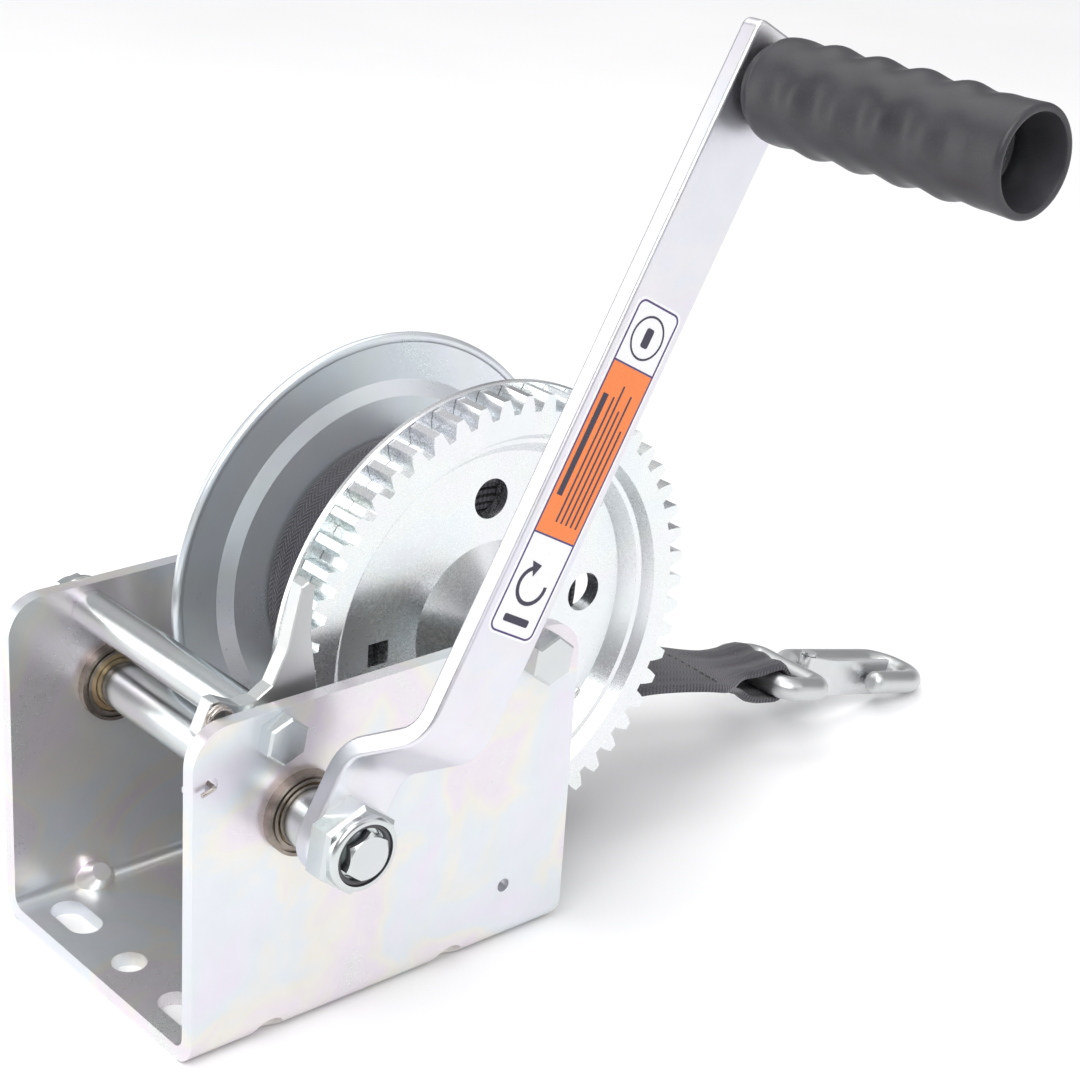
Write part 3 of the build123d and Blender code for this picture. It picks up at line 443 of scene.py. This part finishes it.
def ribbon(name, line, lengths, width, lift, ply, look, body, middle, across=16):
    """A closed strip of webbing along a line in XZ.

    width(s), lift(s, t) and ply(s) take the share of the length and of the half width.
    """
    total = lengths[-1]
    points, flat_map = [], []
    for index, here in enumerate(line):
        ahead = line[min(index + 1, len(line) - 1)] - line[max(index - 1, 0)]
        normal = Vector((-ahead.y, ahead.x)).normalized()
        s = lengths[index] / total
        half, thick = width(s) / 2, ply(s)
        for side in (1, -1):
            for column in range(across + 1):
                t = 2 * column / across - 1
                edge = 1 - 0.35 * max(0.0, abs(t) - 0.9) / 0.1
                offset = lift(s, t) + side * thick * edge / 2
                place = here + normal * offset
                points.append((place.x, middle + half * t, place.y))
                flat_map.append((t * STRAP_WIDTH / 2, lengths[index]))
    return solid(name, points, strip_faces(len(line), across + 1), look, body, flat_map)


# ---------------------------------------------------------------- strap on the drum
low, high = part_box("strap_pack")
drum_axis = (joints["drum_spin"]["pos_m"][0], joints["drum_spin"]["pos_m"][2])
pack_radius = (high[0] - low[0]) / 2
strap_middle = (low[1] + high[1]) / 2
core_radius = (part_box("drum_core")[1][0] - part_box("drum_core")[0][0]) / 2


def wound_strap():
    """The strap wound on the core as one long strip, each turn a little out of line with the next."""
    outer = pack_radius - STRAP_PLY / 2
    turns = (outer - core_radius - STRAP_PLY / 2) / STRAP_PITCH
    count = int(turns * TURN_STEPS)
    half = STRAP_WIDTH / 2 - WOUND_TRIM
    columns = (-1, -0.93, -0.5, 0, 0.5, 0.93, 1)
    points, flat_map = [], []
    along = 0.0
    for index in range(count + 1):
        wound = index / TURN_STEPS
        radius = outer - STRAP_PITCH * wound
        turn = -pi / 2 - 2 * pi * wound
        sway = 0.35 * MM * noise.noise(Vector((2.1 * wound, 0.3, 4.0)))
        squeeze = 0.10 * MM * noise.noise(Vector((6 * wound, 7.7, 1.0)))
        for side in (1, -1):
            for t in columns:
                edge = 0.62 if abs(t) == 1 else 1
                reach = radius + side * STRAP_PLY * edge / 2 + squeeze * (1 - t * t)
                x = drum_axis[0] + reach * cos(turn)
                z = drum_axis[1] + reach * sin(turn)
                points.append((x, strap_middle + sway + half * t, z))
                flat_map.append((t * STRAP_WIDTH / 2, along))
        along += 2 * pi * radius / TURN_STEPS
    faces = strip_faces(count + 1, len(columns))
    piece = solid("wound_strap", points, faces, strap_look, "drum", flat_map)
    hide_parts("strap_pack")


wound_strap()


# ---------------------------------------------------------------- free end of the strap
eye = (joints["hook_swing"]["pos_m"][0], joints["hook_swing"]["pos_m"][2])
tail_radius = pack_radius + TAIL_GAP + STRAP_PLY / 2
tail_bottom = drum_axis[1] - tail_radius


def free_end():
    """The strap from the pack to the hook's eye, round its bar and back under itself."""
    wrap = []
    for turn in (222, 234, 246, 258, 270):
        angle = radians(turn)
        wrap.append((drum_axis[0] + tail_radius * cos(angle), drum_axis[1] + tail_radius * sin(angle)))
    reach = LOOP_BAR + LOOP_GAP + STRAP_PLY / 2
    top_run = [
        (0.084, tail_bottom - 0.0001),
        (0.112, tail_bottom - 0.0008),
        (0.140, tail_bottom - 0.0034),
        (0.164, tail_bottom - 0.0086),
        (0.186, tail_bottom - 0.0158),
        (eye[0] - 0.012, eye[1] + reach + 0.0004),
    ]
    around = []
    for turn in (95, 60, 25, -10, -45, -80, -115):
        angle = radians(turn)
        around.append((eye[0] + reach * cos(angle), eye[1] + reach * sin(angle)))
    back_run = [
        (eye[0] - 0.0120, eye[1] - 0.0030),
        (eye[0] - 0.0200, eye[1] + 0.0030),
        (0.183, tail_bottom - 0.0176),
        (0.168, tail_bottom - 0.0128),
    ]
    line = smooth_line(wrap + top_run + around + back_run, 2.0 * MM)
    lengths = distances(line)
    out_along = list(zip(lengths, line))

    def share_past(x, steps):
        """The share of the length at the first step that lies past x."""
        return next(distance for distance, point in steps if point.x > x) / lengths[-1]

    pinch_start = share_past(0.172, out_along)
    pinch_full = share_past(eye[0] - 0.016, out_along)
    open_start = share_past(eye[0] - 0.018, reversed(out_along))
    open_full = share_past(0.176, reversed(out_along))

    def eased(value, start, end):
        share = min(1.0, max(0.0, (value - start) / (end - start)))
        return share * share * (3 - 2 * share)

    def gathered(s):
        return eased(s, pinch_start, pinch_full) * (1 - 0.75 * eased(s, open_start, open_full))

    def width(s):
        return STRAP_WIDTH + (LOOP_WIDTH - STRAP_WIDTH) * gathered(s)

    def lift(s, t):
        pinched = gathered(s)
        folds = 0.9 * MM * pinched * (0.5 + 0.5 * cos(3 * pi * t + 0.5))
        curl = -1.2 * MM * t * t * eased(s, 0.35, 0.6) * (1 - pinched)
        wave = noise.noise(Vector((9 * s, 1.3 * t, 2.0)))
        wander = 0.5 * MM * wave * eased(s, 0.3, 0.5) * (1 - pinched)
        return folds + curl + wander

    def ply(s):
        return STRAP_PLY * (0.15 + 0.85 * eased(s, 0.0, 0.05))

    piece = ribbon("strap_free_end", line, lengths, width, lift, ply, strap_look, "frame", strap_middle)
    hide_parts("strap_tail", "strap_loop")
    stitches = stitching(line, lengths, width)


def stitching(line, lengths, width):
    """Rows of lock stitches that hold the strap's two plies together ahead of the loop."""
    points, faces = [], []
    sides, rings = 6, 7
    sewn_from, sewn_to, sewn_above = 0.172, 0.184, tail_bottom - 0.0165
    sewn = [d for d, p in zip(lengths, line) if sewn_from < p.x < sewn_to and p.y > sewn_above]
    start, end = min(sewn), max(sewn)

    def at(distance):
        """The point at a distance along the line, and the normal there."""
        index = max(i for i, d in enumerate(lengths) if d <= distance)
        index = min(index, len(line) - 2)
        share = (distance - lengths[index]) / (lengths[index + 1] - lengths[index])
        here = line[index].lerp(line[index + 1], share)
        ahead = (line[index + 1] - line[index]).normalized()
        return here, Vector((-ahead.y, ahead.x))

    def stitch(first, second, up):
        """One thread that arches from one hole to the next."""
        base = len(points)
        run = second - first
        side = up.cross(run).normalized()
        for step in range(rings):
            share = step / (rings - 1)
            arch = sin(pi * share)
            centre = first + run * share + up * (0.35 * MM * arch - 0.25 * MM)
            thick = STITCH_THICK * (0.6 + 0.4 * arch)
            for k in range(sides):
                turn = 2 * pi * k / sides
                points.append(centre + side * thick * cos(turn) + up * thick * sin(turn))
        for step in range(rings - 1):
            for k in range(sides):
                a, b = base + step * sides, base + (step + 1) * sides
                faces.append((a + k, a + (k + 1) % sides, b + (k + 1) % sides, b + k))
        faces.append(tuple(base + k for k in range(sides)))
        faces.append(tuple(base + (rings - 1) * sides + k for k in reversed(range(sides))))

    for row in range(STITCH_ROWS):
        distance = start + (end - start) * row / (STITCH_ROWS - 1)
        here, normal = at(distance)
        up = Vector((normal.x, 0, normal.y))
        surface = Vector((here.x, 0, here.y)) + up * (STRAP_PLY / 2 + 0.1 * MM)
        pitch = 0.84 * width(distance / lengths[-1]) / STITCHES_PER_ROW
        for k in range(STITCHES_PER_ROW):
            y = strap_middle + (k - (STITCHES_PER_ROW - 1) / 2) * pitch
            reach = Vector((0, 0.36 * pitch, 0))
            stitch(surface + Vector((0, y, 0)) - reach, surface + Vector((0, y, 0)) + reach, up)
    flat_map = [(p[1], p[0]) for p in points]
    piece = solid("strap_stitches", points, faces, thread_look, "frame", flat_map)
    return [piece]


free_end()


# ---------------------------------------------------------------- grip
def moulded_grip():
    """The hollow grip with rows of staggered finger lumps, a collar at the arm and an open mouth."""
    low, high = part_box("grip")
    axis = ((low[0] + high[0]) / 2, (low[2] + high[2]) / 2)
    start, end = high[1], low[1]
    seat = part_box("grip_washer")[1][1] + 0.3 * MM
    lip = 1.2 * MM
    mouth = 0.9 * MM
    profile = [
        (start, GRIP_BORE, 0, 0),
        (start, 10.8 * MM, 0, 0),
        (start - 0.8 * MM, 11.6 * MM, 0, 0),
        (start - 2.6 * MM, 11.8 * MM, 0, 0),
    ]
    for share in (0.15, 0.4, 0.7, 1.0):
        swell = 11.9 + 2.3 * sin(pi * share / 2)
        profile.append((start - (3.0 + 2.6 * share) * MM, swell * MM, 0, 0))
    first, last = start - 7 * MM, end + 9 * MM
    rows = 60
    for row in range(rows + 1):
        share = row / rows
        height = GRIP_LUMP_HEIGHT * min(1.0, 6 * share, 6 * (1 - share))
        phase = 2 * pi * GRIP_LUMPS * share
        profile.append((first + (last - first) * share, GRIP_RADIUS, height, phase))
    for share in (0.3, 0.6, 0.9):
        profile.append((last + (end + lip - last) * share, GRIP_RADIUS + 0.25 * MM * share, 0, 0))
    for turn in (0, 30, 60, 90):
        angle = radians(turn)
        reach = GRIP_RADIUS - 0.95 * MM + lip * cos(angle)
        profile.append((end + lip * (1 - sin(angle)), reach, 0, 0))
    for turn in (0, 45, 90):
        angle = radians(turn)
        profile.append((end + mouth * (1 - cos(angle)), 12.3 * MM + mouth * (1 - sin(angle)), 0, 0))
    profile += [
        (end + 8 * MM, 12.0 * MM, 0, 0),
        (seat - 1.0 * MM, 11.6 * MM, 0, 0),
        (seat, 10.6 * MM, 0, 0),
        (seat, GRIP_BORE, 0, 0),
    ]
    piece = turned("moulded_grip", axis, profile, grip_look, "grip")
    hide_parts("grip")


moulded_grip()


# ---------------------------------------------------------------- label
crank_axis = joints["crank_spin"]["pos_m"]
grip_axis = joints["grip_spin"]["pos_m"]
arm_angle = atan2(grip_axis[2] - crank_axis[2], grip_axis[0] - crank_axis[0])
label_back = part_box("arm_label")[1][1]


def rounded(s0, s1, t0, t1, corner, steps=8):
    """Corner points of a rounded rectangle, anticlockwise."""
    out = []
    for cs, ct, start in (
        (s1 - corner, t1 - corner, 0),
        (s0 + corner, t1 - corner, 90),
        (s0 + corner, t0 + corner, 180),
        (s1 - corner, t0 + corner, 270),
    ):
        for step in range(steps + 1):
            turn = radians(start + 90 * step / steps)
            out.append((cs + corner * cos(turn), ct + corner * sin(turn)))
    return out


def disc(s, t, radius, steps=40, start=0.0, sweep=2 * pi):
    """Points round a circle, or along an arc of it."""
    count = steps if sweep >= 2 * pi else steps + 1
    turns = [start + sweep * k / steps for k in range(count)]
    return [(s + radius * cos(turn), t + radius * sin(turn)) for turn in turns]


def bar(s0, t0, s1, t1, thick):
    """Corner points of a straight bar."""
    run = Vector((s1 - s0, t1 - t0)).normalized() * thick / 2
    side = Vector((-run.y, run.x))
    return [
        (s0 + side.x, t0 + side.y),
        (s0 - side.x, t0 - side.y),
        (s1 - side.x, t1 - side.y),
        (s1 + side.x, t1 + side.y),
    ]


def printed_label():
    """A bordered film: a coloured panel with plain lines, a ring round a block, and a turning arrow."""
    film, border, orange, black = range(4)
    points, faces, marks = [], [], []

    def place(s, t, height):
        x = crank_axis[0] + s * cos(arm_angle) - t * sin(arm_angle)
        z = crank_axis[2] + s * sin(arm_angle) + t * cos(arm_angle)
        return (x, label_back - height, z)

    def walls(outline, low, high, look):
        """The points and sides of an outline between two heights; returns its first point's number."""
        base, count = len(points), len(outline)
        for height in (low, high):
            for s, t in outline:
                points.append(place(s, t, height))
        for k in range(count):
            after = (k + 1) % count
            faces.append((base + k, base + after, base + count + after, base + count + k))
            marks.append(look)
        return base

    def raised(outline, low, high, look, hole=None):
        """A flat shape between two heights, with a hole in it or none."""
        base, count = walls(outline, low, high, look), len(outline)
        if hole is None:
            for level in (0, count):
                faces.append(tuple(base + level + k for k in range(count)))
                marks.append(look)
            return
        inner = len(points)
        for height in (low, high):
            for s, t in hole:
                points.append(place(s, t, height))
        for k in range(count):
            after = (k + 1) % count
            faces.append((inner + k, inner + after, inner + count + after, inner + count + k))
            marks.append(look)
            for level in (0, count):
                outside, inside = base + level, inner + level
                faces.append((outside + k, outside + after, inside + after, inside + k))
                marks.append(look)

    def curved(outer, inner, low, high, look):
        """A band between two arcs that have the same number of points."""
        outline = outer + inner[::-1]
        base, count = walls(outline, low, high, look), len(outline)
        for k in range(len(outer) - 1):
            for level in (0, count):
                first, last = base + level + k, base + level + count - 1 - k
                faces.append((first, first + 1, last - 1, last))
                marks.append(look)

    def inset(further, corner):
        """The label's outline, brought in by its edge and a little further."""
        low, high, side = s0 + LABEL_EDGE + further, s1 - LABEL_EDGE - further, half - LABEL_EDGE - further
        return rounded(low, high, -side, side, corner)

    s0, s1, half = LABEL_START, LABEL_END, LABEL_WIDTH / 2
    paper, ink = LABEL_FILM, LABEL_FILM + LABEL_PRINT
    top = ink + LABEL_MARK
    raised(rounded(s0, s1, -half, half, 3 * MM), 0, paper, film)
    raised(inset(0, 2.6 * MM), paper, ink, border, inset(LABEL_LINE, 2.1 * MM))
    inner = half - LABEL_EDGE - LABEL_LINE

    panel_low, panel_high = s0 + 30 * MM, s0 + 80 * MM
    raised(rounded(panel_low, panel_high, -inner, inner, 0.2 * MM), paper, ink, orange)
    for across in (panel_low - 0.3 * MM, panel_high + 0.3 * MM):
        raised(bar(across, -inner, across, inner, 0.5 * MM), paper, ink, border)
    t = inner - 2.6 * MM
    raised(bar(panel_low + 11 * MM, t, panel_high - 9 * MM, t, 2.1 * MM), ink, top, black)
    line_start, line_length = panel_low + 4 * MM, 42 * MM
    for row, share in enumerate((0.88, 0.97, 0.81, 0.93, 0.7)):
        t = inner - 6.0 * MM - row * 2.05 * MM
        raised(bar(line_start, t, line_start + line_length * share, t, 0.62 * MM), ink, top, black)

    ring = panel_high + 9.0 * MM
    raised(disc(ring, 0, 6.3 * MM), paper, ink, black, disc(ring, 0, 5.7 * MM))
    raised(rounded(ring - 2.8 * MM, ring + 2.8 * MM, -1.5 * MM, 1.5 * MM, 0.8 * MM), paper, ink, black)

    arrow = s0 + 15.5 * MM
    tip, sweep = radians(30), radians(250)
    outer_arc, inner_arc = (disc(arrow, 0, reach * MM, 24, tip, sweep) for reach in (5.8, 4.6))
    curved(outer_arc, inner_arc, paper, ink, black)
    s, t = arrow + 5.2 * MM * cos(tip), 5.2 * MM * sin(tip)
    wide, long = 2.4 * MM, 3.2 * MM
    head = [
        (s + wide * cos(tip), t + wide * sin(tip)),
        (s - wide * cos(tip), t - wide * sin(tip)),
        (s + long * sin(tip), t - long * cos(tip)),
    ]
    raised(head, ink, top, black)
    raised(rounded(arrow - 11.4 * MM, arrow - 9.2 * MM, -5 * MM, 5 * MM, 0.6 * MM), paper, ink, black)

    looks = [film_look, border_look, orange_look, black_look]
    piece = solid("printed_label", points, faces, looks, "crank")
    for face, look in zip(piece.data.polygons, marks):
        face.material_index = look
    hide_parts("arm_label")


printed_label()


# ---------------------------------------------------------------- floor, light and camera
scene = bpy.context.scene


def pale_floor(reach=6.0):
    """A plain square floor under the object."""
    mesh = bpy.data.meshes.new("floor")
    corners = [(-reach, -reach, 0), (reach, -reach, 0), (reach, reach, 0), (-reach, reach, 0)]
    mesh.from_pydata(corners, [], [(0, 1, 2, 3)])
    floor = bpy.data.objects.new("floor", mesh)
    scene.collection.objects.link(floor)
    look = Look("floor")
    greys = [(0.3, (0.90, 0.90, 0.905)), (0.7, (0.94, 0.94, 0.945))]
    look.to("Base Color", look.ramp(look.noise(3), greys))
    look.fixed(roughness=0.9)
    mesh.materials.append(look.material)


def studio_world():
    """A bright room whose level changes with height, so that bright metal has something to reflect."""
    world = bpy.data.worlds.new("studio")
    scene.world = world
    world.use_nodes = True
    sky = world.node_tree
    sky.nodes.clear()
    coordinates = sky.nodes.new("ShaderNodeTexCoord")
    split = sky.nodes.new("ShaderNodeSeparateXYZ")
    ramp = sky.nodes.new("ShaderNodeValToRGB")
    background = sky.nodes.new("ShaderNodeBackground")
    output = sky.nodes.new("ShaderNodeOutputWorld")
    sky.links.new(coordinates.outputs["Generated"], split.inputs[0])
    sky.links.new(split.outputs[2], ramp.inputs[0])
    sky.links.new(ramp.outputs[0], background.inputs[0])
    sky.links.new(background.outputs[0], output.inputs[0])
    stops = ramp.color_ramp.elements
    stops[0].position, stops[0].color = 0.0, (0.95, 0.95, 0.97, 1)
    stops[1].position, stops[1].color = 1.0, (1.0, 1.0, 1.0, 1)
    for height, level in ((0.06, 1.0), (0.20, 0.46), (0.36, 0.32), (0.55, 0.80)):
        stop = stops.new(height)
        stop.color = (level, level, level * 1.02, 1)
    background.inputs["Strength"].default_value = 0.69


def soft_box(name, place, width, height, power):
    """A rectangular lamp aimed at the middle of the object."""
    light = bpy.data.lights.new(name, "AREA")
    light.shape = "RECTANGLE"
    light.size, light.size_y, light.energy = width, height, power
    lamp = bpy.data.objects.new(name, light)
    lamp.location = place
    aim = Vector(LIGHT_TARGET) - Vector(place)
    lamp.rotation_euler = aim.to_track_quat("-Z", "Y").to_euler()
    scene.collection.objects.link(lamp)


def soft_sun():
    """A wide weak sun from above."""
    light = bpy.data.lights.new("sun", "SUN")
    light.energy, light.angle = 1.4, radians(50)
    lamp = bpy.data.objects.new("sun", light)
    lamp.rotation_euler = (radians(28), radians(-24), 0)
    scene.collection.objects.link(lamp)


def aimed_camera(place, yaw, pitch, roll, lens):
    """A camera at a place, turned by yaw from X, pitch above the floor, and roll about its own view."""
    forward = Vector((cos(pitch) * cos(yaw), cos(pitch) * sin(yaw), sin(pitch)))
    right = Vector((sin(yaw), -cos(yaw), 0))
    up = right.cross(forward)
    tilted_right = cos(roll) * right + sin(roll) * up
    tilted_up = -sin(roll) * right + cos(roll) * up
    turn = Matrix((tilted_right, tilted_up, -forward)).transposed().to_4x4()
    data = bpy.data.cameras.new("camera")
    data.lens = lens
    data.sensor_width = 36
    camera = bpy.data.objects.new("camera", data)
    camera.matrix_world = Matrix.Translation(place) @ turn
    scene.collection.objects.link(camera)
    return camera


pale_floor()
studio_world()
soft_box("key", (-0.9, -0.8, 1.3), 0.9, 0.9, 6)
soft_box("fill", (1.0, -1.1, 0.7), 0.8, 1.2, 2)
soft_box("top", (0.2, 0.5, 1.5), 1.4, 0.8, 6)
soft_sun()
soft_box("rim", (-0.9, 0.9, 0.5), 0.5, 1.0, 4)
scene.camera = aimed_camera(
    (-0.38643, -0.53505, 0.41503),
    yaw=radians(47.81),
    pitch=radians(-22.99),
    roll=radians(3.90),
    lens=79.75,
)
scene.view_settings.view_transform = "Standard"
